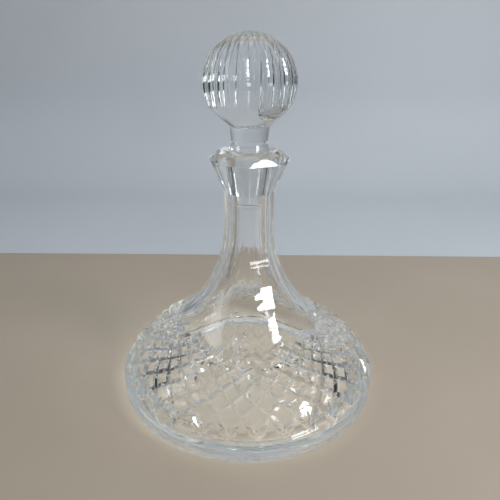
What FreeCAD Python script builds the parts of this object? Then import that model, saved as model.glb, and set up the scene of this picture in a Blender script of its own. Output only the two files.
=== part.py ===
import FreeCAD, Part
import math
import os
import Sketcher
from FreeCAD import Placement, Rotation, Vector

# Ship's decanter in cut crystal: a hollow, wide-based body with a panelled neck and a faceted
# collar, closed by a solid ball stopper whose ground plug sits in the ground seat of the mouth.
# Frame: +Z up the axis of the neck, origin at the centre of the foot. Millimetres, degrees.

SIZES = {
    # Foot and rim of the body
    "foot_radius": (87.0, "outer radius of the flat ring the decanter stands on"),
    "foot_width": (11.0, "width of that flat ring"),
    "base_recess": (1.8, "depth of the hollow inside the foot ring"),
    "rim_radius": (96.0, "largest radius, at the upright band of the rim"),
    "rim_low": (12.0, "height where the rounded foot edge meets the band"),
    "rim_high": (20.5, "height of the sharp upper edge of the band"),
    # Dome, shoulder, flare and neck, from the rim upwards
    "dome_radius": (53.7, "profile radius of the dome above the rim"),
    "dome_start": (25.6, "lean of the dome from upright where it leaves the rim"),
    "shoulder_slope": (35.85, "slope of the straight shoulder above the level"),
    "shoulder_length": (26.4, "length of the straight shoulder along its slope"),
    "neck_length": (21.5, "straight neck between the flare and the collar"),
    "collar_height": (22.3, "height of the collar from its waist to the girdle"),
    "girdle_radius": (27.1, "radius of the girdle at the corners of the facets"),
    "lip_bevel": (4.5, "height of the bevel from the girdle to the lip"),
    "lip_radius": (22.5, "outer radius of the flat top of the lip"),
    # Inside of the body
    "wall": (6.6, "thickness of the glass in the neck, flare and dome"),
    "floor": (9.5, "height of the inner floor above the table"),
    "inner_corner": (12.0, "radius between the inner floor and the wall"),
    # Cut panels and facets
    "panel_count": (8, "panels round the neck, and facets round the collar"),
    "panel_fade": (3.4, "how much tighter than the flare the panels curve"),
    # Ground seat and plug
    "plug_mouth_radius": (13.1, "radius of the plug level with the lip"),
    "plug_taper": (0.0978, "radius lost per millimetre down the plug"),
    "plug_depth": (36.8, "how far the plug reaches below the lip"),
    "plug_edge": (1.0, "bevel round the lower end of the plug"),
    "seat_length": (26.8, "length of the ground seat below the lip"),
    "seat_gap": (0.05, "radial running gap between plug and seat"),
    "mouth_edge": (0.7, "bevel round the inner edge of the mouth"),
    # Stopper above the lip
    "bead_height": (2.2, "height above the lip where the plug is thickest"),
    "waist_height": (6.2, "height above the lip of the stem's waist"),
    "waist_radius": (12.1, "radius of the stem at its waist"),
    "stem_height": (17.7, "height above the lip of the top of the stem"),
    "stem_radius": (13.4, "radius of the top of the stem"),
    "ring_radius": (14.5, "radius of the edge where the cone starts"),
    "ball_radius": (30.05, "radius of the ball"),
    "ball_join": (31.0, "latitude below the ball's middle where the cone ends"),
    "cone_height": (11.0, "height of the cone between stem and ball"),
    "flute_count": (20, "flutes round the ball"),
    "flute_depth": (0.56, "depth of a flute below the ball at its middle"),
    "flute_top": (86.5, "latitude of the top of a flute, near the pole of the ball"),
    "flute_bottom": (-29.5, "latitude of the pointed lower end of a flute"),
    "stopper_turn": (-3.5, "turn of the flutes about the axis from the panels"),
}

doc = FreeCAD.newDocument("Decanter")
sheet = doc.addObject("Spreadsheet::Sheet", "Dimensions")
for row, (alias, (value, note)) in enumerate(SIZES.items(), start=1):
    sheet.set(f"A{row}", alias)
    sheet.set(f"B{row}", str(value))
    sheet.set(f"C{row}", note)
    sheet.setAlias(f"B{row}", alias)
doc.recompute()


def dim(alias):
    """Value of one named size, read back from the sheet."""
    return float(sheet.get(alias))


def bound(text):
    """Expression text with every named size pointed at the sheet."""
    out, word = "", ""
    for char in text + " ":
        if char.isalnum() or char in "_.":
            word += char
        else:
            out += f"Dimensions.{word}" if word in SIZES else word
            out += char
            word = ""
    return out.strip()


def polar(centre, radius, angle):
    """Point at a radius and angle, in degrees, from a centre."""
    turn = math.radians(angle)
    return centre[0] + radius * math.cos(turn), centre[1] + radius * math.sin(turn)


class Profile:
    """A closed, fully constrained sketch in the upright half plane of one body."""

    def __init__(self, body, name, turn=None):
        plane = next(f for f in body.Origin.OriginFeatures if f.Role == "XZ_Plane")
        self.sketch = body.newObject("Sketcher::SketchObject", name)
        self.sketch.AttachmentSupport = [(plane, "")]
        self.sketch.MapMode = "FlatFace"
        if turn:
            self.sketch.AttachmentOffset = Placement(Vector(), Rotation(Vector(0, 1, 0), 1.0))
            self.sketch.setExpression("AttachmentOffset.Rotation.Angle", bound(turn))
        self.ends = {}

    def line(self, start, end):
        """Add a straight edge and return its number."""
        edge = self.sketch.addGeometry(Part.LineSegment(Vector(*start, 0), Vector(*end, 0)))
        self.ends[edge] = (1, 2)
        return edge

    def arc(self, centre, start, end):
        """Add the shorter arc from start to end and return its number."""
        first = math.atan2(start[1] - centre[1], start[0] - centre[0])
        last = math.atan2(end[1] - centre[1], end[0] - centre[0])
        circle = Part.Circle(Vector(*centre, 0), Vector(0, 0, 1), math.dist(centre, start))
        forward = (last - first) % (2 * math.pi) < math.pi
        angles = (first, last) if forward else (last, first)
        edge = self.sketch.addGeometry(Part.ArcOfCircle(circle, *angles))
        self.ends[edge] = (1, 2) if forward else (2, 1)
        return edge

    def start(self, edge):
        """Point where the outline enters an edge."""
        return edge, self.ends[edge][0]

    def end(self, edge):
        """Point where the outline leaves an edge."""
        return edge, self.ends[edge][1]

    def join(self, smooth=()):
        """Join each edge to the next, smoothly after the edges listed."""
        edges = list(self.ends)
        for edge, following in zip(edges, edges[1:] + edges[:1]):
            kind = "Tangent" if edge in smooth else "Coincident"
            points = (*self.end(edge), *self.start(following))
            self.sketch.addConstraint(Sketcher.Constraint(kind, *points))

    def add(self, kind, *where):
        """Add a size constraint at its present value and return its number."""
        geometry = self.sketch.Geometry
        if kind == "Radius":
            value = geometry[where[0]].Radius
        else:
            low, high = self.sketch.getPoint(*where[:2]), self.sketch.getPoint(*where[2:])
            value = high.x - low.x if kind == "DistanceX" else high.y - low.y
        return self.sketch.addConstraint(Sketcher.Constraint(kind, *where, value))

    def bind(self, kind, *where, to):
        """Add a size constraint that follows an expression of named sizes."""
        self.sketch.setExpression(f"Constraints[{self.add(kind, *where)}]", bound(to))

    def across(self, point, to, beyond=(-1, 1)):
        """Set how far out a point is, from the axis or beyond another point."""
        self.bind("DistanceX", *beyond, *point, to=to)

    def up(self, point, to, above=(-1, 1)):
        """Set how high a point is, from the origin or above another point."""
        self.bind("DistanceY", *above, *point, to=to)

    def radius(self, edge, to):
        """Set the radius of an arc."""
        self.bind("Radius", edge, to=to)

    def keep(self, kind, *edges):
        """Keep edges Horizontal or Vertical."""
        for edge in edges:
            self.sketch.addConstraint(Sketcher.Constraint(kind, edge))

    def on_axis(self, *points):
        """Keep points on the axis."""
        for point in points:
            self.sketch.addConstraint(Sketcher.Constraint("PointOnObject", *point, -2))

    def report(self, name, kind, *where):
        """Add a named size that is only read, so that other objects can follow it."""
        number = self.add(kind, *where)
        self.sketch.setDriving(number, False)
        self.sketch.renameConstraint(number, name)


def new_body(label):
    """Start one piece of the decanter."""
    body = doc.addObject("PartDesign::Body", label)
    body.Label = label
    return body


def turned(body, profile, kind, name):
    """Turn a profile about the axis, adding or removing glass."""
    feature = body.newObject(kind, name)
    feature.Profile = profile.sketch
    feature.ReferenceAxis = (profile.sketch, ["V_Axis"])
    feature.Angle = 360
    doc.recompute()
    return feature


def cut_round(body, profile, name, width, count):
    """Cut one facet right across a profile and repeat it round the axis."""
    before = body.Shape.Volume
    pocket = body.newObject("PartDesign::Pocket", name)
    pocket.Profile = profile.sketch
    pocket.SideType = "Symmetric"
    pocket.setExpression("Length", bound(width))
    doc.recompute()
    once = before - body.Shape.Volume
    ring = body.newObject("PartDesign::PolarPattern", name + "Round")
    ring.Originals = [pocket]
    ring.Axis = (profile.sketch, ["V_Axis"])
    ring.Angle = 360
    ring.setExpression("Occurrences", bound(count))
    body.Tip = ring
    doc.recompute()
    print(f"{name}: one cut {once:.0f} mm3, all {before - body.Shape.Volume:.0f} mm3")
    if once <= 0 or before - body.Shape.Volume <= once:
        raise RuntimeError(f"{name} cuts nothing")
    return ring


# Sizes that follow from the named ones: the neck is the bore of the seat's lower end plus the wall.
BORE_RADIUS = "(plug_mouth_radius + seat_gap - plug_taper * seat_length)"
NECK_RADIUS = f"({BORE_RADIUS} + wall)"
DOME_ACROSS = "(rim_radius - dome_radius * cos(dome_start))"
DOME_UP = "(rim_high - dome_radius * sin(dome_start))"
ABOVE_FLARE = "(neck_length + collar_height + lip_bevel)"
FACET = "cos(180 / panel_count)"
FLARE_RADIUS = "(OuterProfile.Constraints.flare_radius / 1 mm)"
FLARE_TOP = "(OuterProfile.Constraints.flare_top / 1 mm)"
LIP_HEIGHT = "(OuterProfile.Constraints.lip_height / 1 mm)"
BALL_MIDDLE = "(StopperProfile.Constraints.ball_middle / 1 mm)"

bore = dim("plug_mouth_radius") + dim("seat_gap") - dim("plug_taper") * dim("seat_length")
neck = bore + dim("wall")
slope = math.radians(dim("shoulder_slope"))
dome_lean = math.radians(dim("dome_start"))
dome_centre = (
    dim("rim_radius") - dim("dome_radius") * math.cos(dome_lean),
    dim("rim_high") - dim("dome_radius") * math.sin(dome_lean),
)
normal_angle = 90 - dim("shoulder_slope")
dome_end = polar(dome_centre, dim("dome_radius"), normal_angle)
flare_start = polar(dome_end, dim("shoulder_length"), 180 - dim("shoulder_slope"))
flare_radius = (flare_start[0] - neck) / (1 - math.sin(slope))
flare_centre = (neck + flare_radius, flare_start[1] + flare_radius * math.cos(slope))
waist_up = flare_centre[1] + dim("neck_length")
girdle_up = waist_up + dim("collar_height")
lip_up = girdle_up + dim("lip_bevel")


# ---------------------------------------------------------------------------------- the body
decanter = new_body("decanter_body")

# Outside: recessed foot, rounded foot edge, upright rim band, dome, straight shoulder, flare,
# neck, collar widening to the girdle, and the bevel up to the flat lip.
foot_in = (dim("foot_radius") - dim("foot_width"), 0)
recess = (foot_in[0] - dim("base_recess"), dim("base_recess"))
foot_out = (dim("foot_radius"), 0)
band_low = (dim("rim_radius"), dim("rim_low"))
band_high = (dim("rim_radius"), dim("rim_high"))
edge_out = dim("rim_radius") - dim("foot_radius")
foot_round = (edge_out**2 + dim("rim_low") ** 2) / (2 * edge_out)

outer = Profile(decanter, "OuterProfile")
o_recess = outer.line((0, recess[1]), recess)
o_step = outer.line(recess, foot_in)
o_foot = outer.line(foot_in, foot_out)
o_edge = outer.arc((dim("rim_radius") - foot_round, dim("rim_low")), foot_out, band_low)
o_band = outer.line(band_low, band_high)
o_dome = outer.arc(dome_centre, band_high, dome_end)
o_shoulder = outer.line(dome_end, flare_start)
o_flare = outer.arc(flare_centre, flare_start, (neck, flare_centre[1]))
o_neck = outer.line((neck, flare_centre[1]), (neck, waist_up))
o_collar = outer.line((neck, waist_up), (dim("girdle_radius"), girdle_up))
o_bevel = outer.line((dim("girdle_radius"), girdle_up), (dim("lip_radius"), lip_up))
o_lip = outer.line((dim("lip_radius"), lip_up), (0, lip_up))
o_axis = outer.line((0, lip_up), (0, recess[1]))
outer.join(smooth=(o_edge, o_dome, o_shoulder, o_flare))
outer.on_axis(outer.start(o_recess), outer.end(o_lip))
outer.keep("Horizontal", o_recess, o_foot, o_lip)
outer.keep("Vertical", o_band, o_neck)
outer.up(outer.start(o_recess), "base_recess")
outer.across(outer.end(o_recess), "foot_radius - foot_width - base_recess")
outer.across(outer.start(o_foot), "foot_radius - foot_width")
outer.sketch.addConstraint(Sketcher.Constraint("PointOnObject", *outer.start(o_foot), -1))
outer.across(outer.end(o_foot), "foot_radius")
outer.across(outer.start(o_band), "rim_radius")
outer.up(outer.start(o_band), "rim_low")
outer.up(outer.end(o_band), "rim_high")
outer.across((o_dome, 3), DOME_ACROSS)
outer.up(outer.start(o_dome), "dome_radius * sin(dome_start)", above=(o_dome, 3))
outer.across(outer.start(o_shoulder), "shoulder_length * cos(shoulder_slope)", outer.end(o_shoulder))
outer.up(outer.end(o_shoulder), "shoulder_length * sin(shoulder_slope)", outer.start(o_shoulder))
outer.across(outer.start(o_neck), NECK_RADIUS)
outer.up(outer.end(o_neck), "neck_length", above=outer.start(o_neck))
outer.across(outer.end(o_collar), "girdle_radius")
outer.up(outer.end(o_collar), "collar_height", above=outer.start(o_collar))
outer.across(outer.end(o_bevel), "lip_radius")
outer.up(outer.end(o_bevel), "lip_bevel", above=outer.start(o_bevel))
outer.report("flare_radius", "Radius", o_flare)
outer.report("flare_top", "DistanceY", -1, 1, *outer.start(o_neck))
outer.report("lip_height", "DistanceY", -1, 1, *outer.end(o_bevel))
turned(decanter, outer, "PartDesign::Revolution", "Blank")

# Inside: one wall thickness in from the dome, shoulder, flare and neck, with a rounded corner
# at the floor, then the tapered seat and the bevelled mouth. It runs past the lip to open it.
wall = dim("wall")
inner_dome = dim("dome_radius") - wall
corner = dim("inner_corner")
corner_up = dim("floor") + corner
corner_across = dome_centre[0] + math.sqrt((inner_dome - corner) ** 2 - (corner_up - dome_centre[1]) ** 2)
corner_turn = math.degrees(math.atan2(corner_up - dome_centre[1], corner_across - dome_centre[0]))
inner_start = polar(dome_centre, inner_dome, corner_turn)
inner_end = polar(dome_centre, inner_dome, normal_angle)
inner_flare = polar(inner_end, dim("shoulder_length"), 180 - dim("shoulder_slope"))
seat_up = lip_up - dim("seat_length")
mouth = dim("plug_mouth_radius") + dim("seat_gap") - dim("plug_taper") * dim("mouth_edge")
mouth_up = lip_up - dim("mouth_edge")
mouth_out = mouth + dim("mouth_edge")

cavity = Profile(decanter, "CavityProfile")
c_floor = cavity.line((0, dim("floor")), (corner_across, dim("floor")))
c_corner = cavity.arc((corner_across, corner_up), (corner_across, dim("floor")), inner_start)
c_dome = cavity.arc(dome_centre, inner_start, inner_end)
c_shoulder = cavity.line(inner_end, inner_flare)
c_flare = cavity.arc(flare_centre, inner_flare, (bore, flare_centre[1]))
c_bore = cavity.line((bore, flare_centre[1]), (bore, seat_up))
c_seat = cavity.line((bore, seat_up), (mouth, mouth_up))
c_mouth = cavity.line((mouth, mouth_up), (mouth_out, lip_up))
c_open = cavity.line((mouth_out, lip_up), (mouth_out, lip_up + 1))
c_top = cavity.line((mouth_out, lip_up + 1), (0, lip_up + 1))
c_axis = cavity.line((0, lip_up + 1), (0, dim("floor")))
cavity.join(smooth=(c_floor, c_corner, c_dome, c_shoulder, c_flare))
cavity.on_axis(cavity.start(c_floor), cavity.end(c_top))
cavity.keep("Horizontal", c_floor, c_top)
cavity.keep("Vertical", c_bore, c_open)
cavity.up(cavity.start(c_floor), "floor")
cavity.radius(c_corner, "inner_corner")
cavity.across((c_dome, 3), DOME_ACROSS)
cavity.bind("DistanceY", c_dome, 3, *cavity.start(c_floor), to=f"floor - {DOME_UP}")
cavity.radius(c_dome, "dome_radius - wall")
cavity.across(cavity.start(c_shoulder), "shoulder_length * cos(shoulder_slope)", cavity.end(c_shoulder))
cavity.up(cavity.end(c_shoulder), "shoulder_length * sin(shoulder_slope)", cavity.start(c_shoulder))
cavity.across(cavity.start(c_bore), BORE_RADIUS)
cavity.up(cavity.end(c_bore), f"{ABOVE_FLARE} - seat_length", above=cavity.start(c_bore))
cavity.across(cavity.end(c_seat), "plug_mouth_radius + seat_gap - plug_taper * mouth_edge")
cavity.up(cavity.end(c_seat), "seat_length - mouth_edge", above=cavity.start(c_seat))
cavity.across(cavity.end(c_mouth), "mouth_edge", beyond=cavity.start(c_mouth))
cavity.up(cavity.end(c_mouth), "mouth_edge", above=cavity.start(c_mouth))
cavity.up(cavity.end(c_open), "mouth_edge", above=cavity.start(c_open))
turned(decanter, cavity, "PartDesign::Groove", "Cavity")

# One cut panel: a flat across the neck that fades out down the flare, a facet on the collar and
# a facet on the bevel that starts at the round lip. Its corners fall on the X and Y axes.
facet = math.cos(math.pi / dim("panel_count"))
panel_radius = flare_radius - dim("panel_fade")
panel_centre = (neck * facet + panel_radius, flare_centre[1])
far = dim("rim_radius") + dim("foot_width")
fade = (panel_centre[0] - panel_radius * 0.4, panel_centre[1] - panel_radius * math.sqrt(0.84))

panel = Profile(decanter, "PanelProfile", turn="180 / panel_count")
p_flare = panel.arc(panel_centre, fade, (neck * facet, panel_centre[1]))
p_neck = panel.line((neck * facet, panel_centre[1]), (neck * facet, waist_up))
p_collar = panel.line((neck * facet, waist_up), (dim("girdle_radius") * facet, girdle_up))
p_bevel = panel.line((dim("girdle_radius") * facet, girdle_up), (dim("lip_radius"), lip_up))
p_top = panel.line((dim("lip_radius"), lip_up), (far, lip_up))
p_side = panel.line((far, lip_up), (far, fade[1]))
p_under = panel.line((far, fade[1]), fade)
panel.join(smooth=(p_flare,))
panel.keep("Vertical", p_neck, p_side)
panel.keep("Horizontal", p_top, p_under)
panel.across(panel.start(p_neck), f"{NECK_RADIUS} * {FACET}")
panel.up(panel.start(p_neck), FLARE_TOP)
panel.radius(p_flare, f"{FLARE_RADIUS} - panel_fade")
panel.across((p_flare, 3), f"0.4 * ({FLARE_RADIUS} - panel_fade)", panel.start(p_flare))
panel.up(panel.end(p_neck), "neck_length", above=panel.start(p_neck))
panel.across(panel.end(p_collar), f"girdle_radius * {FACET}")
panel.up(panel.end(p_collar), "collar_height", above=panel.start(p_collar))
panel.across(panel.end(p_bevel), "lip_radius")
panel.up(panel.end(p_bevel), "lip_bevel", above=panel.start(p_bevel))
panel.across(panel.end(p_top), "rim_radius + foot_width")
cut_round(decanter, panel, "Panel", "2 * rim_radius", "panel_count")


# ------------------------------------------------------------------------------- the stopper
# Its own origin is the lower end of the plug, which hangs plug_depth below the lip.
stopper = new_body("stopper")
stopper.setExpression("Placement.Base.z", bound(f"{LIP_HEIGHT} - plug_depth"))
stopper.Placement.Rotation = Rotation(Vector(0, 0, 1), dim("stopper_turn"))

TIP_RADIUS = "(plug_mouth_radius - plug_taper * plug_depth)"
lip = dim("plug_depth")
tip = dim("plug_mouth_radius") - dim("plug_taper") * lip
bead = dim("plug_mouth_radius") + dim("plug_taper") * dim("bead_height")
ball = dim("ball_radius")
join = math.radians(dim("ball_join"))
cone_up = lip + dim("stem_height")
cone_end = (ball * math.cos(join), cone_up + dim("cone_height"))
ball_centre = (0, cone_end[1] + ball * math.sin(join))
ball_top = (0, ball_centre[1] + ball)

solid = Profile(stopper, "StopperProfile")
s_tip = solid.line((0, 0), (tip - dim("plug_edge"), 0))
tip_edge = (tip + dim("plug_taper") * dim("plug_edge"), dim("plug_edge"))
s_edge = solid.line((tip - dim("plug_edge"), 0), tip_edge)
s_plug = solid.line(tip_edge, (bead, lip + dim("bead_height")))
s_bead = solid.line((bead, lip + dim("bead_height")), (dim("waist_radius"), lip + dim("waist_height")))
s_stem = solid.line((dim("waist_radius"), lip + dim("waist_height")), (dim("stem_radius"), cone_up))
s_ring = solid.line((dim("stem_radius"), cone_up), (dim("ring_radius"), cone_up))
s_cone = solid.line((dim("ring_radius"), cone_up), cone_end)
s_ball = solid.arc(ball_centre, cone_end, ball_top)
s_axis = solid.line(ball_top, (0, 0))
solid.join()
solid.on_axis(solid.end(s_ball), (s_ball, 3))
solid.sketch.addConstraint(Sketcher.Constraint("Coincident", *solid.start(s_tip), -1, 1))
solid.keep("Horizontal", s_tip, s_ring)
solid.across(solid.end(s_tip), f"{TIP_RADIUS} - plug_edge")
solid.across(solid.end(s_edge), f"{TIP_RADIUS} + plug_taper * plug_edge")
solid.up(solid.end(s_edge), "plug_edge")
solid.across(solid.end(s_plug), "plug_mouth_radius + plug_taper * bead_height")
solid.up(solid.end(s_plug), "plug_depth + bead_height")
solid.across(solid.end(s_bead), "waist_radius")
solid.up(solid.end(s_bead), "plug_depth + waist_height")
solid.across(solid.end(s_stem), "stem_radius")
solid.up(solid.end(s_stem), "plug_depth + stem_height")
solid.across(solid.end(s_ring), "ring_radius")
solid.across(solid.end(s_cone), "ball_radius * cos(ball_join)")
solid.up(solid.end(s_cone), "cone_height", above=solid.start(s_cone))
solid.radius(s_ball, "ball_radius")
solid.report("ball_middle", "DistanceY", -1, 1, s_ball, 3)
turned(stopper, solid, "PartDesign::Revolution", "StopperBlank")

# One flute: an arc a little flatter than the ball, so that it dips below the surface between its
# two latitudes, deepest half way, and runs out into the air past each end.
ball_middle = ball_centre[1]
reach = math.radians((dim("flute_top") - dim("flute_bottom")) / 2)
aim = math.radians((dim("flute_top") + dim("flute_bottom")) / 2)
depth = dim("flute_depth")
shift = (2 * ball * depth - depth**2) / (2 * (ball - depth - ball * math.cos(reach)))
flute_radius = ball - depth + shift
flute_centre = (-shift * math.cos(aim), ball_middle - shift * math.sin(aim))
low = cone_end[1] - dim("cone_height") / 2
flute_low = (flute_centre[0] + math.sqrt(flute_radius**2 - (flute_centre[1] - low) ** 2), low)
flute_high = (0, flute_centre[1] + math.sqrt(flute_radius**2 - flute_centre[0] ** 2))
aside = 2 * ball
SHIFT = (
    "((2 * ball_radius * flute_depth - flute_depth ^ 2) / (2 * (ball_radius - flute_depth"
    " - ball_radius * cos((flute_top - flute_bottom) / 2))))"
)
AIM = "((flute_top + flute_bottom) / 2)"

flute = Profile(stopper, "FluteProfile")
f_cut = flute.arc(flute_centre, flute_low, flute_high)
f_top = flute.line(flute_high, (aside, flute_high[1]))
f_side = flute.line((aside, flute_high[1]), (aside, low))
f_under = flute.line((aside, low), flute_low)
flute.join()
flute.on_axis(flute.end(f_cut))
flute.keep("Horizontal", f_top, f_under)
flute.keep("Vertical", f_side)
flute.bind("DistanceX", f_cut, 3, -1, 1, to=f"{SHIFT} * cos({AIM})")
flute.up((f_cut, 3), f"{BALL_MIDDLE} - {SHIFT} * sin({AIM})")
flute.radius(f_cut, f"ball_radius - flute_depth + {SHIFT}")
flute.up(flute.start(f_cut), f"{BALL_MIDDLE} - ball_radius * sin(ball_join) - cone_height / 2")
flute.across(flute.end(f_top), "2 * ball_radius")
cut_round(stopper, flute, "Flute", "2 * ball_radius", "flute_count")


# -------------------------------------------------------------------------------- the checks
doc.recompute()
for item in doc.Objects:
    if {"Invalid", "Error"} & set(item.State):
        raise RuntimeError(f"{item.Name} did not build: {item.State}")
    if item.isDerivedFrom("Sketcher::SketchObject"):
        left = item.solve()
        print(f"{item.Name}: solver {left}, fully constrained {item.FullyConstrained}")
os.makedirs("parts", exist_ok=True)
for piece in (decanter, stopper):
    shape = piece.Shape
    if shape.isNull() or not shape.isValid() or len(shape.Solids) != 1:
        raise RuntimeError(f"{piece.Label} is not one valid solid")
    box = shape.BoundBox
    print(
        f"{piece.Label}: {box.XLength:.1f} x {box.YLength:.1f} x {box.ZLength:.1f} mm, "
        f"z {box.ZMin:.2f} to {box.ZMax:.2f}, {shape.Volume / 1000:.1f} cm3"
    )
    shape.exportStep(f"parts/{piece.Label}.step")
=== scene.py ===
"""Cut crystal ship's decanter: a hollow body with wheel-cut ornament and a solid fluted stopper.

Sizes are in millimetres until a piece is finished, when it is scaled to metres in the frame.
Azimuths are in degrees from the front (-Y) towards the right (+X).
"""

import logging
import math
from collections.abc import Callable
from dataclasses import dataclass, field
from enum import Enum

import bmesh
import bpy
from mathutils import Matrix, Vector

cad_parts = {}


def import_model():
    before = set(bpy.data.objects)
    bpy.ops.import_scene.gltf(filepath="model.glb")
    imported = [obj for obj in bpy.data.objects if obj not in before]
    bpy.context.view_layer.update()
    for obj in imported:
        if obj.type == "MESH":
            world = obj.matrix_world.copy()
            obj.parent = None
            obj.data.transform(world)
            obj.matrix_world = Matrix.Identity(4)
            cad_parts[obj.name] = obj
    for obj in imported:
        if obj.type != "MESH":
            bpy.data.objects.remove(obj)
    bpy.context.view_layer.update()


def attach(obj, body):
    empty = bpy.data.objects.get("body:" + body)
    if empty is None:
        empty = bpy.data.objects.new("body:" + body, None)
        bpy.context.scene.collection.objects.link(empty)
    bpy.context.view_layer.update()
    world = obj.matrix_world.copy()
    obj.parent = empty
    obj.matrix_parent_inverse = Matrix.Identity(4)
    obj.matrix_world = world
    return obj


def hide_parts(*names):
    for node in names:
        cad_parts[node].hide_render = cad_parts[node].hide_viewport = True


LOG = logging.getLogger("decanter")
MILLIMETRE = 0.001
EASE_STEPS = 4
POLISH_ANGLE = math.radians(6.5)
FOOT_MARK = 0.02

Point = tuple[float, float]
Tint = tuple[float, float, float]
Socket = bpy.types.NodeSocket


class Mark(Enum):
    """Faces that aren't plain polished glass."""

    GROUND = "ground_glass"
    WORN = "worn_foot"


class Ends(Enum):
    """How a cut comes out of the glass at its two ends."""

    LEAF = "leaf"
    GROOVE = "groove"


# ------------------------------------------------------------------------------ shop practice
def clear_selection() -> None:
    """Leave nothing selected, so that the next operator touches only what is made next."""
    bpy.ops.object.select_all(action="DESELECT")


def take(piece: bpy.types.Object) -> None:
    """Make one piece the only selected one."""
    clear_selection()
    piece.select_set(True)
    bpy.context.view_layer.objects.active = piece


def arc(centre: Point, radius: float, start: float, end: float, steps: int) -> list[Point]:
    """Points along an arc of a profile.

    Args:
        centre: Centre of the arc, as radius and height.
        radius: Radius of the arc.
        start: First angle in degrees from the outward level.
        end: Last angle in degrees.
        steps: Number of straight steps.

    Returns:
        The points, both ends included.
    """
    angles = [math.radians(start + (end - start) * k / steps) for k in range(steps + 1)]
    return [(centre[0] + radius * math.cos(a), centre[1] + radius * math.sin(a)) for a in angles]


def eased(before: Point, corner: Point, after: Point, size: float) -> list[Point]:
    """A polished corner: the sharp point replaced by a small curve.

    Args:
        before: Point the outline comes from.
        corner: The sharp corner.
        after: Point the outline goes to.
        size: Distance from the corner to where the curve starts.

    Returns:
        The points of the curve.
    """
    middle = Vector(corner)
    first = middle + (Vector(before) - middle).normalized() * size
    last = middle + (Vector(after) - middle).normalized() * size
    points = []
    for step in range(EASE_STEPS + 1):
        t = step / EASE_STEPS
        spot = first * (1 - t) ** 2 + middle * 2 * t * (1 - t) + last * t**2
        points.append((spot.x, spot.y))
    return points


def turn_on_lathe(name: str, outline: list[Point], around: int) -> bpy.types.Object:
    """Draw half an outline point by point and turn it about the axis.

    Args:
        name: Name of the piece.
        outline: Points as radius and height; both ends lie on the axis.
        around: Number of steps round the axis.

    Returns:
        A closed piece whose faces look outwards.
    """
    clear_selection()
    bpy.ops.mesh.primitive_plane_add(size=1.0)
    piece = bpy.context.object
    piece.name = name
    bpy.ops.object.mode_set(mode="EDIT")
    bpy.ops.mesh.select_mode(type="VERT")
    bpy.ops.mesh.select_all(action="SELECT")
    bpy.ops.mesh.merge(type="CENTER")
    bpy.ops.transform.translate(value=(outline[0][0], 0, outline[0][1]))
    for here, there in zip(outline, outline[1:]):
        step = (there[0] - here[0], 0, there[1] - here[1])
        bpy.ops.mesh.extrude_vertices_move(TRANSFORM_OT_translate={"value": step})
    bpy.ops.mesh.select_all(action="SELECT")
    bpy.ops.mesh.spin(steps=around, angle=math.tau, center=(0, 0, 0), axis=(0, 0, 1))
    bpy.ops.mesh.select_all(action="SELECT")
    bpy.ops.mesh.remove_doubles(threshold=1e-4)
    bpy.ops.mesh.normals_make_consistent(inside=False)
    bpy.ops.object.mode_set(mode="OBJECT")
    return piece


def mitre_edge(depth: float, proud: float, slope: float) -> list[Point]:
    """Section of the glass a mitre wheel takes away: a V pointing into the surface.

    Args:
        depth: Deepest cut that the section has to clear.
        proud: How far the section stands out of the glass.
        slope: Half width over depth.

    Returns:
        Points as distance across and height, lowest at 0.
    """
    top = depth + proud
    return [(0.0, 0.0), (top * slope, top), (-top * slope, top)]


@dataclass
class Station:
    """One place along a cut.

    Attributes:
        spot: Point on the uncut surface.
        outward: Direction straight out of the glass.
        depth: Depth of the cut here; negative where the wheel is clear of the glass.
    """

    spot: Vector
    outward: Vector
    depth: float


def lay_cut(name: str, stations: list[Station], sections: list[list[Point]]) -> bpy.types.Object:
    """A bar of the wheel's section, laid along the stations of one cut.

    Args:
        name: Name of the cut.
        stations: Places along the cut, in order.
        sections: The wheel's section at each station, as distance across and height.

    Returns:
        The closed bar.
    """
    rows, corners = len(stations), len(sections[0])
    clear_selection()
    bpy.ops.mesh.primitive_cylinder_add(vertices=corners, radius=1.0, depth=rows - 1)
    bar = bpy.context.object
    bar.name = name
    bpy.ops.object.mode_set(mode="EDIT")
    bpy.ops.mesh.select_mode(type="EDGE")
    bpy.ops.mesh.select_all(action="DESELECT")
    mesh = bmesh.from_edit_mesh(bar.data)
    for edge in mesh.edges:
        edge.select_set(abs(edge.verts[0].co.z - edge.verts[1].co.z) > 0.5)
    bmesh.update_edit_mesh(bar.data)
    bpy.ops.mesh.subdivide(number_cuts=rows - 2)
    mesh = bmesh.from_edit_mesh(bar.data)

    def order(vert: bmesh.types.BMVert) -> tuple[int, float]:
        """Row along the bar, then place round it."""
        turn = math.atan2(vert.co.y, vert.co.x) % math.tau
        return round(vert.co.z + (rows - 1) / 2), round(turn, 4) % round(math.tau, 4)

    for number, vert in enumerate(sorted(mesh.verts, key=order)):
        row, corner = divmod(number, corners)
        place = stations[row]
        ahead = stations[min(row + 1, rows - 1)].spot - stations[max(row - 1, 0)].spot
        side = ahead.cross(place.outward).normalized()
        across, up = sections[row][corner]
        vert.co = place.spot + side * across + place.outward * (up - place.depth)
    bmesh.update_edit_mesh(bar.data)
    bpy.ops.mesh.select_all(action="SELECT")
    bpy.ops.mesh.normals_make_consistent(inside=False)
    if bmesh.from_edit_mesh(bar.data).calc_volume(signed=True) < 0:
        bpy.ops.mesh.flip_normals()
    bpy.ops.object.mode_set(mode="OBJECT")
    return bar


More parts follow.
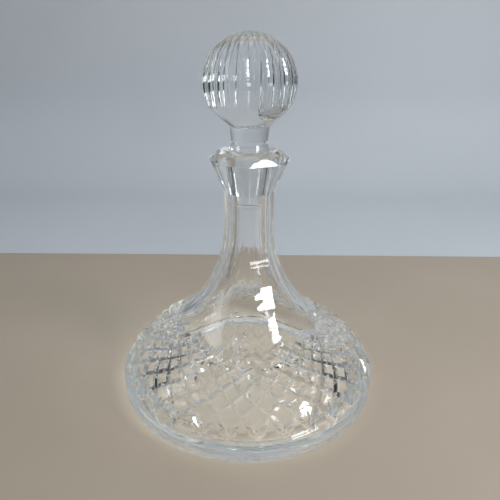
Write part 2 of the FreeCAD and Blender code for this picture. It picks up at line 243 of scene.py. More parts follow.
def ring_of(piece: bpy.types.Object, count: int) -> None:
    """Repeat a piece evenly round the axis, in its own mesh."""
    if count < 2:
        return
    take(piece)
    bpy.ops.object.mode_set(mode="EDIT")
    bpy.ops.mesh.select_all(action="SELECT")
    bpy.ops.mesh.spin(
        steps=count - 1,
        dupli=True,
        angle=math.tau * (count - 1) / count,
        center=(0, 0, 0),
        axis=(0, 0, 1),
    )
    bpy.ops.object.mode_set(mode="OBJECT")


def grind(piece: bpy.types.Object, cutter: bpy.types.Object) -> None:
    """Take the cutter's shape out of a piece and put the cutter away."""
    take(piece)
    cut = piece.modifiers.new("grind", "BOOLEAN")
    cut.operation = "DIFFERENCE"
    cut.solver = "MANIFOLD"
    cut.object = cutter
    bpy.ops.object.modifier_apply(modifier=cut.name)
    bpy.data.objects.remove(cutter)


def finish_piece(piece: bpy.types.Object) -> None:
    """Bring a piece to metres, with crisp cut edges and polished curves."""
    take(piece)
    piece.scale = (MILLIMETRE,) * 3
    bpy.ops.object.transform_apply(scale=True)
    bpy.ops.object.shade_smooth_by_angle(angle=POLISH_ANGLE)
    LOG.info("%s: %d faces", piece.name, len(piece.data.polygons))


# ------------------------------------------------------------------------------ the glass
@dataclass(frozen=True)
class Crystal:
    """Lead crystal: polished, with ground and worn places where a piece is marked so.

    Attributes:
        name: Name of the finish.
        polish: Roughness where the surface is cleanest.
        haze: Roughness where it is most handled.
        ground: Roughness of a ground surface.
        worn: Roughness of a foot that has slid on tables.
        waviness: Height of the hand-polished unevenness, in metres.
        bend: Index of refraction.
        shade: Share of the light that passes into its shadow.
        depth_tint: Colour of thick glass.
        depth_density: How fast thick glass takes up that colour, per metre.
    """

    name: str
    polish: float = 0.0
    haze: float = 0.015
    ground: float = 0.13
    worn: float = 0.09
    waviness: float = 0.000025
    bend: float = 1.545
    shade: Tint = (0.86, 0.87, 0.865)
    depth_tint: Tint = (0.80, 0.88, 0.86)
    depth_density: float = 3.0

    def make(self, wear: bpy.types.NodeTree) -> bpy.types.Material:
        """Build the material.

        Args:
            wear: Node group from handling_marks.

        Returns:
            The finished material.
        """
        made = bpy.data.materials.new(self.name)
        made.use_nodes = True
        nodes, links = made.node_tree.nodes, made.node_tree.links
        nodes.clear()
        place = nodes.new("ShaderNodeTexCoord")
        marks = nodes.new("ShaderNodeGroup")
        marks.node_tree = wear
        for socket in ("polish", "haze", "ground", "worn"):
            marks.inputs[socket.title()].default_value = getattr(self, socket)
        links.new(place.outputs["Object"], marks.inputs["Place"])
        for mark in Mark:
            found = nodes.new("ShaderNodeAttribute")
            found.attribute_name = mark.value
            links.new(found.outputs["Fac"], marks.inputs[mark.name.title() + " Mask"])
        ripple = nodes.new("ShaderNodeBump")
        ripple.inputs["Strength"].default_value = 1.0
        ripple.inputs["Distance"].default_value = self.waviness
        links.new(marks.outputs["Height"], ripple.inputs["Height"])
        glass = nodes.new("ShaderNodeBsdfPrincipled")
        glass.inputs["Base Color"].default_value = (1.0, 1.0, 1.0, 1.0)
        glass.inputs["IOR"].default_value = self.bend
        glass.inputs["Transmission Weight"].default_value = 1.0
        links.new(marks.outputs["Roughness"], glass.inputs["Roughness"])
        links.new(ripple.outputs["Normal"], glass.inputs["Normal"])
        clear = nodes.new("ShaderNodeBsdfTransparent")
        clear.inputs["Color"].default_value = (*self.shade, 1.0)
        path = nodes.new("ShaderNodeLightPath")
        mix = nodes.new("ShaderNodeMixShader")
        links.new(path.outputs["Is Shadow Ray"], mix.inputs["Fac"])
        links.new(glass.outputs["BSDF"], mix.inputs[1])
        links.new(clear.outputs["BSDF"], mix.inputs[2])
        body = nodes.new("ShaderNodeVolumeAbsorption")
        body.inputs["Color"].default_value = (*self.depth_tint, 1.0)
        body.inputs["Density"].default_value = self.depth_density
        out = nodes.new("ShaderNodeOutputMaterial")
        links.new(mix.outputs["Shader"], out.inputs["Surface"])
        links.new(body.outputs["Volume"], out.inputs["Volume"])
        return made


def mark_faces(piece: bpy.types.Object, mark: Mark, chosen: Callable[[Vector], bool]) -> None:
    """Mark faces of a finished piece for its finish.

    Args:
        piece: The piece.
        mark: What the faces are marked as.
        chosen: Tells from a face's middle, in millimetres, whether it is marked.
    """
    spots = piece.data.attributes.new(mark.value, "FLOAT", "FACE")
    for face in piece.data.polygons:
        spots.data[face.index].value = float(chosen(face.center / MILLIMETRE))


def mixed(group: bpy.types.NodeTree, share: Socket, low: Socket, high: Socket) -> Socket:
    """Blend two values inside a node group by a share between 0 and 1."""
    blend = group.nodes.new("ShaderNodeMix")
    for source, name in ((share, "Factor"), (low, "A"), (high, "B")):
        group.links.new(source, blend.inputs[name])
    return blend.outputs["Result"]


def handling_marks() -> bpy.types.NodeTree:
    """Fine wear of the crystal: faint smears, the grain of ground glass, scratches and waviness."""
    group = bpy.data.node_groups.new("handling_marks", "ShaderNodeTree")
    sockets = group.interface
    sockets.new_socket("Place", in_out="INPUT", socket_type="NodeSocketVector")
    for name in ("Polish", "Haze", "Ground", "Worn", "Ground Mask", "Worn Mask"):
        sockets.new_socket(name, in_out="INPUT", socket_type="NodeSocketFloat")
    sockets.new_socket("Roughness", in_out="OUTPUT", socket_type="NodeSocketFloat")
    sockets.new_socket("Height", in_out="OUTPUT", socket_type="NodeSocketFloat")
    nodes, links = group.nodes, group.links
    given = nodes.new("NodeGroupInput")

    def patches(scale: float, detail: float, low: float, high: float) -> Socket:
        """A noise pattern, stretched so that low is 0 and high is 1."""
        noise = nodes.new("ShaderNodeTexNoise")
        noise.inputs["Scale"].default_value = scale
        noise.inputs["Detail"].default_value = detail
        links.new(given.outputs["Place"], noise.inputs["Vector"])
        spread = nodes.new("ShaderNodeMapRange")
        spread.inputs["From Min"].default_value = low
        spread.inputs["From Max"].default_value = high
        links.new(noise.outputs["Fac"], spread.inputs["Value"])
        return spread.outputs["Result"]

    polish, haze = given.outputs["Polish"], given.outputs["Haze"]
    smears = mixed(group, patches(60.0, 6.0, 0.42, 0.78), polish, haze)
    grain = mixed(group, patches(2600.0, 2.0, 0.3, 0.7), haze, given.outputs["Ground"])
    scuffs = mixed(group, patches(420.0, 5.0, 0.40, 0.60), haze, given.outputs["Worn"])
    rough = mixed(group, given.outputs["Ground Mask"], smears, grain)
    rough = mixed(group, given.outputs["Worn Mask"], rough, scuffs)
    done = nodes.new("NodeGroupOutput")
    links.new(rough, done.inputs["Roughness"])
    links.new(patches(85.0, 2.0, 0.0, 1.0), done.inputs["Height"])
    return group


# ------------------------------------------------------------------------------ the body
@dataclass(frozen=True)
class MitreCut:
    """One kind of cut, repeated evenly round the body.

    Attributes:
        name: What the cutter calls it.
        way: Places along the cut on the uncut dome, as azimuth and radius.
        depth: Greatest depth.
        count: How many there are round the body.
        ends: How the cut comes out of the glass.
        mirrored: True if each has a partner of the other hand.
        steps: Steps between two places of the way.
    """

    name: str
    way: tuple[Point, ...]
    depth: float
    count: int
    ends: Ends = Ends.LEAF
    mirrored: bool = False
    steps: int = 10


@dataclass
class DecanterBody:
    """The hollow glass body, turned, then cut with wheels.

    Fields are sizes in millimetres, angles in degrees, counts, or plain ratios such as a taper.
    """

    foot_radius: float = 87.0
    foot_width: float = 11.0
    base_recess: float = 1.8
    recess_run: float = 9.0
    rim_radius: float = 96.0
    rim_low: float = 12.0
    rim_high: float = 20.5
    dome_radius: float = 53.7
    dome_start: float = 25.6
    shoulder_slope: float = 35.85
    shoulder_length: float = 26.4
    neck_length: float = 21.5
    collar_height: float = 22.3
    girdle_radius: float = 27.1
    lip_bevel: float = 4.5
    lip_radius: float = 22.5
    wall: float = 6.6
    floor: float = 9.5
    inner_corner: float = 12.0
    panels: int = 8
    panel_fade: float = 3.4
    panel_sweep: float = 62.0
    panel_reach: float = 60.0
    bevel_overrun: Point = (1.5, 2.66)
    plug_mouth_radius: float = 13.1
    plug_taper: float = 0.0978
    seat_length: float = 26.8
    seat_gap: float = 0.05
    mouth_edge: float = 0.7
    rim_polish: float = 0.9
    collar_polish: float = 0.25
    lip_polish: float = 0.35
    dome_lead: float = 1.5
    mitre_slope: float = 1.2
    mitre_clear: float = 0.45
    around: int = 128
    diamonds: int = 32
    motif_turn: float = -7.5
    motifs: int = 4
    row_radii: tuple[float, ...] = (93.5, 85.5, 80.0, 74.2, 69.2, 64.6, 60.3, 56.4, 52.8)
    piece: bpy.types.Object | None = field(default=None, repr=False)

    def __post_init__(self) -> None:
        """Work out the centres and joints of the profile."""
        lean = math.radians(self.dome_start)
        slope = math.radians(self.shoulder_slope)
        upright = 90 - self.shoulder_slope
        self.bore = self.plug_mouth_radius + self.seat_gap - self.plug_taper * self.seat_length
        self.neck = self.bore + self.wall
        self.dome_centre = (
            self.rim_radius - self.dome_radius * math.cos(lean),
            self.rim_high - self.dome_radius * math.sin(lean),
        )
        self.dome_end = arc(self.dome_centre, self.dome_radius, upright, upright, 1)[0]
        self.flare_start = (
            self.dome_end[0] - self.shoulder_length * math.cos(slope),
            self.dome_end[1] + self.shoulder_length * math.sin(slope),
        )
        self.flare_radius = (self.flare_start[0] - self.neck) / (1 - math.sin(slope))
        flare_top = self.flare_start[1] + self.flare_radius * math.cos(slope)
        self.flare_centre = (self.neck + self.flare_radius, flare_top)
        self.waist = flare_top + self.neck_length
        self.girdle = self.waist + self.collar_height
        self.lip = self.girdle + self.lip_bevel

    def outline(self) -> list[Point]:
        """Half the section of the glass, from the inner floor round the outside to the base."""
        upright = 90 - self.shoulder_slope
        corner_up = self.floor + self.inner_corner
        inner_dome = self.dome_radius - self.wall
        reach = inner_dome - self.inner_corner
        drop = corner_up - self.dome_centre[1]
        corner = (self.dome_centre[0] + math.sqrt(reach**2 - drop**2), corner_up)
        corner_turn = math.degrees(math.asin(drop / reach))
        mouth = self.plug_mouth_radius + self.seat_gap - self.plug_taper * self.mouth_edge
        foot_in = self.foot_radius - self.foot_width
        edge_out = self.rim_radius - self.foot_radius
        foot_round = (edge_out**2 + self.rim_low**2) / (2 * edge_out)
        foot_turn = -math.degrees(math.asin(self.rim_low / foot_round))
        top = self.lip
        inside = [(0.0, self.floor), (corner[0] * 0.5, self.floor)]
        inside += arc(corner, self.inner_corner, -90, corner_turn, 28)
        inside += arc(self.dome_centre, inner_dome, corner_turn, upright, 10)[1:]
        inside += arc(self.flare_centre, self.flare_radius + self.wall, 180 + upright, 180, 18)
        inside += [(self.bore, top - self.seat_length)]
        inside += [(mouth, top - self.mouth_edge), (mouth + self.mouth_edge, top)]
        collar, bevel = (self.girdle_radius, self.girdle), (self.lip_radius, top)
        rim = (self.rim_radius, self.rim_high)
        dome = arc(self.dome_centre, self.dome_radius, self.dome_start + self.dome_lead, upright, 18)
        outside = [
            (foot_in - self.recess_run * (1 - t), self.base_recess * (1 + math.cos(math.pi * t)) / 2)
            for t in (step / 12 for step in range(13))
        ]
        outside += arc((rim[0] - foot_round, self.rim_low), foot_round, foot_turn, 0, 15)
        outside += eased(outside[-1], rim, dome[0], self.rim_polish)
        outside += dome
        outside += arc(self.flare_centre, self.flare_radius, 180 + upright, 180, 20)
        outside += [(self.neck, self.waist)]
        outside += eased(outside[-1], collar, bevel, self.collar_polish)
        outside += eased(collar, bevel, (mouth, top), self.lip_polish)
        return inside + outside[::-1] + [(0.0, self.base_recess)]

    def height_at(self, radius: float) -> Station:
        """The uncut outside between the rim and the neck.

        Args:
            radius: Distance from the axis.

        Returns:
            A station at azimuth 90, in the XZ plane, with no depth.
        """
        slope = math.radians(self.shoulder_slope)
        if radius > self.dome_end[0]:
            out = radius - self.dome_centre[0]
            up = math.sqrt(self.dome_radius**2 - out**2)
            spot = Vector((radius, 0, self.dome_centre[1] + up))
            return Station(spot, Vector((out, 0, up)).normalized(), 0)
        if radius > self.flare_start[0]:
            up = (self.dome_end[0] - radius) * math.tan(slope)
            spot = Vector((radius, 0, self.dome_end[1] + up))
            return Station(spot, Vector((math.sin(slope), 0, math.cos(slope))), 0)
        out = self.flare_centre[0] - radius
        down = math.sqrt(self.flare_radius**2 - out**2)
        spot = Vector((radius, 0, self.flare_centre[1] - down))
        return Station(spot, Vector((out, 0, down)).normalized(), 0)

    def stations(self, cut: MitreCut, hand: int) -> list[Station]:
        """Places along one cut, with its depth at each.

        Args:
            cut: The cut.
            hand: 1, or -1 for the partner of the other hand.

        Returns:
            Stations from one end of the cut to the other.
        """
        places = [
            tuple(here + (there - here) * k / cut.steps for here, there in zip(start, end))
            for start, end in zip(cut.way, cut.way[1:])
            for k in range(cut.steps)
        ] + [cut.way[-1]]
        last = len(places) - 1
        laid = []
        for number, (azimuth, radius) in enumerate(places):
            here = self.height_at(radius)
            turn = math.radians(self.motif_turn + hand * azimuth)
            spin = Vector((math.sin(turn), -math.cos(turn), 0))
            along = number / last
            if cut.ends is Ends.LEAF:
                share = 1.16 * (1 - (2 * along - 1) ** 2) - 0.16
            else:
                share = min(1.0, (number - 1) / 2, (last - 1 - number) / 2)
            laid.append(
                Station(
                    spin * here.spot.x + Vector((0, 0, here.spot.z)),
                    (spin * here.outward.x + Vector((0, 0, here.outward.z))).normalized(),
                    cut.depth * share,
                )
            )
        return laid

    def cuts(self) -> list[MitreCut]:
        """Every kind of mitre cut on the dome and shoulder, in the order it is made."""
        pitch = 360 / self.diamonds
        rows = self.row_radii
        lattice = (
            (-0.14 * pitch, rows[0] + 1.6),
            *((row * pitch / 2, radius) for row, radius in enumerate(rows)),
            ((len(rows) - 0.6) * pitch / 2, rows[-1] - 1.8),
        )
        foot, heart = (0.0, rows[0] + 0.6), (0.6, 56.2)
        middle, inner, outer = (0.0, rows[0] - 6.8), (2.35, rows[0] - 6.2), (4.5, rows[0] - 2.3)
        low = ((11.5, 56.4), (25.0, 57.2), (38.5, 55.6))
        high = ((15.5, 55.6), (27.0, 52.4), (40.0, 46.9))
        feet, motifs = self.diamonds, self.motifs
        return [
            MitreCut("diamond_groove", lattice, 1.9, feet, Ends.GROOVE, mirrored=True, steps=3),
            MitreCut("fan_middle", (foot, middle), 1.3, feet, steps=8),
            MitreCut("fan_inner", (foot, inner), 1.2, feet, mirrored=True, steps=8),
            MitreCut("fan_outer", (foot, outer), 0.95, feet, mirrored=True, steps=8),
            MitreCut("spray_top", (heart, (5.0, 40.5)), 1.95, motifs, mirrored=True),
            MitreCut("spray_side", (heart, (8.8, 49.2)), 1.8, motifs, mirrored=True),
            MitreCut("spray_foot", (heart, (7.6, 57.2)), 1.4, motifs, mirrored=True),
            MitreCut("swag_low", low, 1.9, motifs, mirrored=True),
            MitreCut("swag_high", high, 1.75, motifs, mirrored=True),
        ]

    def cut_dome(self) -> None:
        """Grind the diamonds, fans, sprays and swags with mitre wheels."""
        for cut in self.cuts():
            section = mitre_edge(cut.depth, self.mitre_clear, self.mitre_slope)
            for hand in (1, -1) if cut.mirrored else (1,):
                laid = self.stations(cut, hand)
                bar = lay_cut(cut.name, laid, [section] * len(laid))
                ring_of(bar, cut.count)
                grind(self.piece, bar)
            LOG.info("cut %s x %d", cut.name, cut.count)

    def cut_panels(self) -> None:
        """Grind the flat panels of the neck with the facets of the collar and lip above them."""
        facet = math.cos(math.pi / self.panels)
        radius = self.flare_radius - self.panel_fade
        centre = (self.neck * facet + radius, self.flare_centre[1])
        far, (inward, above) = self.panel_reach, self.bevel_overrun
        chain = arc(centre, radius, 180 + self.panel_sweep, 180, 26)
        chain += [(self.neck * facet, self.waist), (self.girdle_radius * facet, self.girdle)]
        chain += [(self.lip_radius, self.lip), (self.lip_radius - inward, self.lip + above)]
        chain += [(far, self.lip + above), (far, chain[0][1])]
        for number in range(self.panels):
            bar = self.panel_bar(chain, 2 * far * math.tan(math.pi / self.panels))
            take(bar)
            bar.rotation_euler.z = math.tau * (number + 0.5) / self.panels
            bpy.ops.object.transform_apply(rotation=True)
            grind(self.piece, bar)
        LOG.info("cut neck panel x %d", self.panels)

    def panel_bar(self, chain: list[Point], width: float) -> bpy.types.Object:
        """The glass outside one panel: its profile drawn as a face and drawn out sideways."""
        clear_selection()
        bpy.ops.mesh.primitive_plane_add(size=1.0)
        bar = bpy.context.object
        bar.name = "neck_panel"
        bpy.ops.object.mode_set(mode="EDIT")
        bpy.ops.mesh.select_mode(type="VERT")
        bpy.ops.mesh.select_all(action="SELECT")
        bpy.ops.mesh.merge(type="CENTER")
        bpy.ops.transform.translate(value=(chain[0][0], -width / 2, chain[0][1]))
        for here, there in zip(chain, chain[1:]):
            step = (there[0] - here[0], 0, there[1] - here[1])
            bpy.ops.mesh.extrude_vertices_move(TRANSFORM_OT_translate={"value": step})
        bpy.ops.mesh.select_all(action="SELECT")
        bpy.ops.mesh.edge_face_add()
        bpy.ops.mesh.extrude_region_move(TRANSFORM_OT_translate={"value": (0, width, 0)})
        bpy.ops.mesh.select_all(action="SELECT")
        bpy.ops.mesh.normals_make_consistent(inside=False)
        bpy.ops.object.mode_set(mode="OBJECT")
        return bar

    def build(self) -> bpy.types.Object:
        """Turn the blank, cut it and polish it."""
        self.piece = turn_on_lathe("cut_body", self.outline(), self.around)
        self.cut_panels()
        self.cut_dome()
        finish_piece(self.piece)
        return self.piece

    def dress(self, crystal: bpy.types.Material) -> None:
        """Polished crystal all over, with a ground seat inside the mouth and a worn foot ring."""
        self.piece.data.materials.clear()
        self.piece.data.materials.append(crystal)
        low, high = self.lip - self.seat_length + 0.3, self.lip - self.mouth_edge
        mouth = self.plug_mouth_radius + 0.4

        def on_seat(at: Vector) -> bool:
            """Tell whether a spot lies on the ground seat."""
            return math.hypot(at.x, at.y) < mouth and low < at.z < high

        mark_faces(self.piece, Mark.GROUND, on_seat)
        mark_faces(self.piece, Mark.WORN, lambda at: at.z < FOOT_MARK)


# ------------------------------------------------------------------------------ the stopper
@dataclass
class Stopper:
    """The solid stopper: ball, cone, stem and ground plug. Sizes as in DecanterBody."""

    lip: float
    plug_mouth_radius: float = 13.1
    plug_taper: float = 0.0978
    plug_depth: float = 36.8
    plug_edge: float = 1.0
    bead_height: float = 2.2
    waist_height: float = 6.2
    waist_radius: float = 12.1
    stem_height: float = 17.7
    stem_radius: float = 13.4
    ring_radius: float = 14.5
    ball_radius: float = 30.05
    ball_join: float = 31.0
    cone_height: float = 11.0
    flutes: int = 20
    flute_edge: float = 11.0
    flute_from: float = -34.0
    flute_to: float = 88.0
    flute_fades: Point = (-14.0, 15.0)
    flute_steps: int = 48
    turn: float = -3.5
    around: int = 120
    piece: bpy.types.Object | None = field(default=None, repr=False)

    def outline(self) -> list[Point]:
        """Half the section of the stopper, from the end of the plug up to the top of the ball."""
        join = math.radians(self.ball_join)
        ring = self.lip + self.stem_height
        self.ball_middle = ring + self.cone_height + self.ball_radius * math.sin(join)
        tip_up = self.lip - self.plug_depth
        tip = self.plug_mouth_radius - self.plug_taper * self.plug_depth
        wide = self.plug_mouth_radius + self.plug_taper * self.bead_height
        bead = (wide, self.lip + self.bead_height)
        stem = [(self.waist_radius + 0.5, self.lip + self.waist_height - 1.6)]
        stem += [(self.waist_radius, self.lip + self.waist_height)]
        stem += [(self.waist_radius + 0.25, self.lip + self.waist_height + 4.0)]
        top = (self.stem_radius, ring)
        shelf = (self.ring_radius, ring + 0.2)
        cone = (self.ball_radius * math.cos(join), ring + self.cone_height)
        points = [(0.0, tip_up), (tip - self.plug_edge - 2.0, tip_up)]
        points += eased(points[-1], (tip, tip_up), bead, self.plug_edge)
        points += eased((tip, tip_up), bead, stem[0], 0.8) + stem
        points += eased(stem[-1], top, shelf, 0.3) + eased(top, shelf, cone, 0.35)
        points += [cone]
        points += arc((0.0, self.ball_middle), self.ball_radius, -self.ball_join, 90, 60)[1:-1]
        return points + [(0.0, self.ball_middle + self.ball_radius)]

    def flute_ring(self, first: int) -> bpy.types.Object:
        """The glass a round-edged wheel takes out along every second meridian of the ball.

        Args:
            first: 0 or 1, the flute the ring starts with.

        Returns:
            The cutter, as one mesh.
        """
        centre = Vector((0, 0, self.ball_middle))
        turn = math.radians(self.turn + (first + 0.5) * 360 / self.flutes)
        spin = Vector((math.sin(turn), -math.cos(turn), 0))
        half = math.pi / self.flutes
        laid, sections = [], []
        for step in range(self.flute_steps + 1):
            latitude = self.flute_from + (self.flute_to - self.flute_from) * step / self.flute_steps
            angle = math.radians(latitude)
            outward = (spin * math.cos(angle) + Vector((0, 0, math.sin(angle)))).normalized()
            level = self.ball_radius * math.cos(angle)
            depth = level * (1 - math.cos(half)) + (level * half) ** 2 / (2 * self.flute_edge)
            reach = level * math.tan(half) * 1.25
            fade = max(0.0, (self.flute_fades[0] - latitude) / self.flute_fades[1])
            spot = centre + outward * self.ball_radius
            laid.append(Station(spot, outward, depth * (1 - 1.3 * fade**2)))
            across = [reach * (k / 6 - 1) for k in range(13)]
            hollow = [(x, x**2 / (2 * self.flute_edge)) for x in across]
            sections.append([*hollow, (reach, depth + 0.8), (-reach, depth + 0.8)])
        bar = lay_cut("flute", laid, sections)
        ring_of(bar, self.flutes // 2)
        return bar

    def build(self) -> bpy.types.Object:
        """Turn the stopper and cut its flutes, every second one at a time."""
        self.piece = turn_on_lathe("fluted_stopper", self.outline(), self.around)
        for first in (0, 1):
            grind(self.piece, self.flute_ring(first))
        LOG.info("cut flute x %d", self.flutes)
        finish_piece(self.piece)
        return self.piece

    def dress(self, crystal: bpy.types.Material) -> None:
        """Polished crystal, with a ground plug below the lip."""
        self.piece.data.materials.clear()
        self.piece.data.materials.append(crystal)
        tip = self.lip - self.plug_depth + self.plug_edge
        mark_faces(self.piece, Mark.GROUND, lambda at: tip < at.z < self.lip + 0.5)


# ------------------------------------------------------------------------------ the studio
@dataclass(frozen=True)
class Softbox:
    """One soft light.

    Attributes:
        name: Name of the light.
        azimuth: Where it stands, in degrees from the front towards the right.
        elevation: Its height, in degrees above the table.
        away: Distance from the decanter, in metres.
        size: Width and height, in metres.
        power: Power in watts.
    """

    name: str
    azimuth: float
    elevation: float
    away: float
    size: Point
    power: float


@dataclass
class Studio:
    """Plain pale floor and backdrop, soft lights and the camera."""

    camera_right: float = 0.0009
    camera_height: float = 0.2582
    camera_back: float = 0.3317
    camera_down: float = 23.74
    camera_roll: float = 0.45
    lens: float = 36.0
    table_radius: float = 1.0
    table_edge: float = 0.24
    backdrop_at: float = 0.64
    backdrop_width: float = 4.0
    daylight: Tint = (0.92, 0.965, 1.0)
    room_tint: Tint = (0.93, 0.96, 1.0)
    room_dark: float = 0.012
    room_light: float = 0.18
    room_seen: float = 0.48
    ray_bounces: int = 48
    window_rows: tuple[Point, ...] = ((47.6, 23.2), (49.4, 30.6), (53.5, 39.3), (58.0, 46.6))
    window_columns: tuple[float, ...] = (0.0, 7.2)
    window_pane: Point = (0.125, 0.138)
    window_away: float = 1.2
    window_power: float = 1.2
    softboxes: tuple[Softbox, ...] = (
        Softbox("sill_low", 44.0, 4.0, 1.2, (0.46, 0.04), 0.7),
        Softbox("sill_high", 44.0, 7.5, 1.2, (0.46, 0.05), 0.8),
        Softbox("left_fill", -75.0, 32.0, 1.2, (0.5, 0.8), 1.9),
        Softbox("overhead", 170.0, 72.0, 1.3, (0.8, 0.6), 2.3),
    )

    def window(self) -> list[Softbox]:
        """The panes of a tall window that leans a little with height."""
        return [
            Softbox(
                f"pane_{row}_{column}",
                azimuth + aside,
                elevation,
                self.window_away,
                self.window_pane,
                self.window_power,
            )
            for row, (azimuth, elevation) in enumerate(self.window_rows)
            for column, aside in enumerate(self.window_columns)
        ]

    def pale_paint(self, name: str, dark: Tint, light: Tint, scale: float) -> bpy.types.Material:
        """A plain matt paint with a faint mottle.

        Args:
            name: Name of the paint.
            dark: Colour of its darker patches.
            light: Colour of its lighter patches.
            scale: Patches per metre.

        Returns:
            The material.
        """
        paint = bpy.data.materials.new(name)
        paint.use_nodes = True
        nodes, links = paint.node_tree.nodes, paint.node_tree.links
        shader = nodes["Principled BSDF"]
        shader.inputs["Roughness"].default_value = 0.6
        place = nodes.new("ShaderNodeTexCoord")
        mottle = nodes.new("ShaderNodeTexNoise")
        mottle.inputs["Scale"].default_value = scale
        mottle.inputs["Detail"].default_value = 5.0
        shade = nodes.new("ShaderNodeValToRGB")
        shade.color_ramp.elements[0].color = (*dark, 1)
        shade.color_ramp.elements[1].color = (*light, 1)
        links.new(place.outputs["Object"], mottle.inputs["Vector"])
        links.new(mottle.outputs["Fac"], shade.inputs["Fac"])
        links.new(shade.outputs["Color"], shader.inputs["Base Color"])
        return paint

    def floor(self) -> None:
        """A round pale table top."""
        clear_selection()
        bpy.ops.mesh.primitive_circle_add(
            vertices=96, radius=self.table_radius, fill_type="NGON", location=(0, 0, -0.0002)
        )
        top = bpy.context.object
        top.name = "studio_floor"
        paint = self.pale_paint("warm_floor", (0.47, 0.385, 0.295), (0.54, 0.45, 0.36), 9.0)
        top.data.materials.append(paint)

    def backdrop(self) -> None:
        """A pale sheet that hangs behind the table and curves out over its far edge."""
        clear_selection()
        bpy.ops.mesh.primitive_plane_add(size=1.0)
        sheet = bpy.context.object
        sheet.name = "studio_backdrop"
        bpy.ops.object.mode_set(mode="EDIT")
        bpy.ops.mesh.select_mode(type="EDGE")
        depth = self.backdrop_at - self.table_edge
        bpy.ops.transform.resize(value=(self.backdrop_width, depth, 1))
        bpy.ops.transform.translate(value=(0, self.backdrop_at - depth / 2, 0.0))
        bpy.ops.mesh.select_all(action="DESELECT")
        mesh = bmesh.from_edit_mesh(sheet.data)
        for edge in mesh.edges:
            edge.select_set(all(vert.co.y > self.backdrop_at - 0.01 for vert in edge.verts))
        bmesh.update_edit_mesh(sheet.data)
        bpy.ops.mesh.extrude_region_move(TRANSFORM_OT_translate={"value": (0, 0, 1.5)})
        mesh = bmesh.from_edit_mesh(sheet.data)
        for edge in mesh.edges:
            corner = all(vert.co.y > self.backdrop_at - 0.01 and vert.co.z < 0.01 for vert in edge.verts)
            edge.select_set(corner)
        bmesh.update_edit_mesh(sheet.data)
        bpy.ops.mesh.bevel(offset=0.16, segments=12, affect="EDGES")
        bpy.ops.object.mode_set(mode="OBJECT")
        bpy.ops.object.shade_smooth_by_angle(angle=math.radians(30))
        paint = self.pale_paint("cool_backdrop", (0.62, 0.65, 0.69), (0.72, 0.75, 0.79), 3.0)
        sheet.data.materials.append(paint)

    def hang(self, box: Softbox) -> None:
        """Hang one soft light, aimed at the middle of the decanter."""
        turn, rise = math.radians(box.azimuth), math.radians(box.elevation)
        middle = Vector((0, 0, 0.09))
        level = math.cos(rise)
        way = Vector((math.sin(turn) * level, -math.cos(turn) * level, math.sin(rise)))
        aim = (-way).to_track_quat("-Z", "Y").to_euler()
        clear_selection()
        bpy.ops.object.light_add(type="AREA", location=middle + way * box.away, rotation=aim)
        lamp = bpy.context.object
        lamp.name = box.name
        lamp.data.shape = "RECTANGLE"
        lamp.data.size, lamp.data.size_y = box.size
        lamp.data.energy = box.power
        lamp.data.color = self.daylight
        lamp.visible_camera = False

    def room(self) -> None:
        """A soft room: pale behind the table and overhead, dim behind the camera."""
        world = bpy.data.worlds.new("soft_room")
        bpy.context.scene.world = world
        world.use_nodes = True
        nodes, links = world.node_tree.nodes, world.node_tree.links
        place = nodes.new("ShaderNodeTexCoord")
        split = nodes.new("ShaderNodeSeparateXYZ")
        links.new(place.outputs["Generated"], split.inputs["Vector"])
        walls = nodes.new("ShaderNodeMapRange")
        walls.interpolation_type = "SMOOTHSTEP"
        walls.inputs["From Min"].default_value = -0.1
        walls.inputs["From Max"].default_value = 0.8
        walls.inputs["To Min"].default_value = self.room_dark
        walls.inputs["To Max"].default_value = self.room_light
        links.new(split.outputs["Y"], walls.inputs["Value"])
        ceiling = nodes.new("ShaderNodeMapRange")
        ceiling.interpolation_type = "SMOOTHSTEP"
        ceiling.inputs["From Min"].default_value = 0.45
        ceiling.inputs["From Max"].default_value = 0.95
        ceiling.inputs["To Max"].default_value = self.room_light
        links.new(split.outputs["Z"], ceiling.inputs["Value"])
        both = nodes.new("ShaderNodeMath")
        links.new(walls.outputs["Result"], both.inputs[0])
        links.new(ceiling.outputs["Result"], both.inputs[1])
        path = nodes.new("ShaderNodeLightPath")
        seen = nodes.new("ShaderNodeMix")
        seen.inputs["B"].default_value = self.room_seen
        links.new(path.outputs["Is Camera Ray"], seen.inputs["Factor"])
        links.new(both.outputs["Value"], seen.inputs["A"])
        links.new(seen.outputs["Result"], nodes["Background"].inputs["Strength"])
        nodes["Background"].inputs["Color"].default_value = (*self.room_tint, 1.0)

    def camera(self) -> None:
        """The camera, a little above the neck and looking down at the base."""
        clear_selection()
        tilt = Matrix.Rotation(math.radians(90 - self.camera_down), 3, "X")
        roll = Matrix.Rotation(math.radians(self.camera_roll), 3, "Z")
        bpy.ops.object.camera_add(
            location=(self.camera_right, -self.camera_back, self.camera_height),
            rotation=(tilt @ roll).to_euler(),
        )
        view = bpy.context.object
        view.data.lens = self.lens
        view.data.sensor_width = 36.0
        bpy.context.scene.camera = view

    def set_up(self) -> None:
        """Put up the floor, the backdrop, the lights and the camera."""
        self.floor()
        self.backdrop()
        self.room()
        for box in (*self.window(), *self.softboxes):
            self.hang(box)
        self.camera()
        rays = bpy.context.scene.cycles
        rays.max_bounces = rays.transmission_bounces = rays.glossy_bounces = self.ray_bounces
        rays.transparent_max_bounces = 24
        rays.diffuse_bounces = 3
        bpy.context.scene.view_settings.view_transform = "Standard"


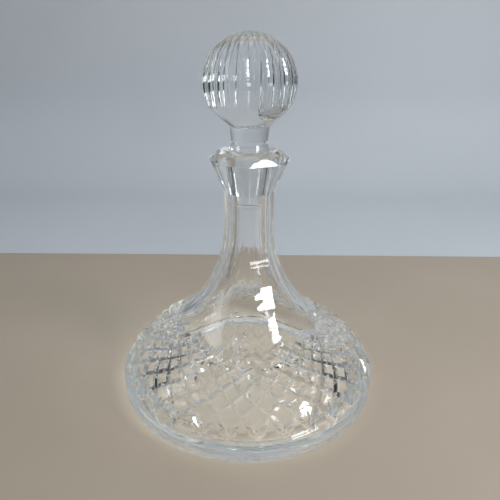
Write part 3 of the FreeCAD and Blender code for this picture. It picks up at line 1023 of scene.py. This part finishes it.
def main() -> None:
    """Build the decanter on its frame and set up the studio."""
    logging.basicConfig(level=logging.INFO, format="%(name)s %(message)s")
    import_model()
    wear = handling_marks()
    body = DecanterBody()
    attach(body.build(), "decanter")
    body.dress(Crystal("body_crystal_glass").make(wear))
    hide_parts("decanter_body")

    stopper = Stopper(lip=body.lip)
    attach(stopper.build(), "stopper")
    stopper.dress(Crystal("stopper_crystal_glass", haze=0.02).make(wear))
    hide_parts("stopper")

    Studio().set_up()


if __name__ == "__main__":
    main()
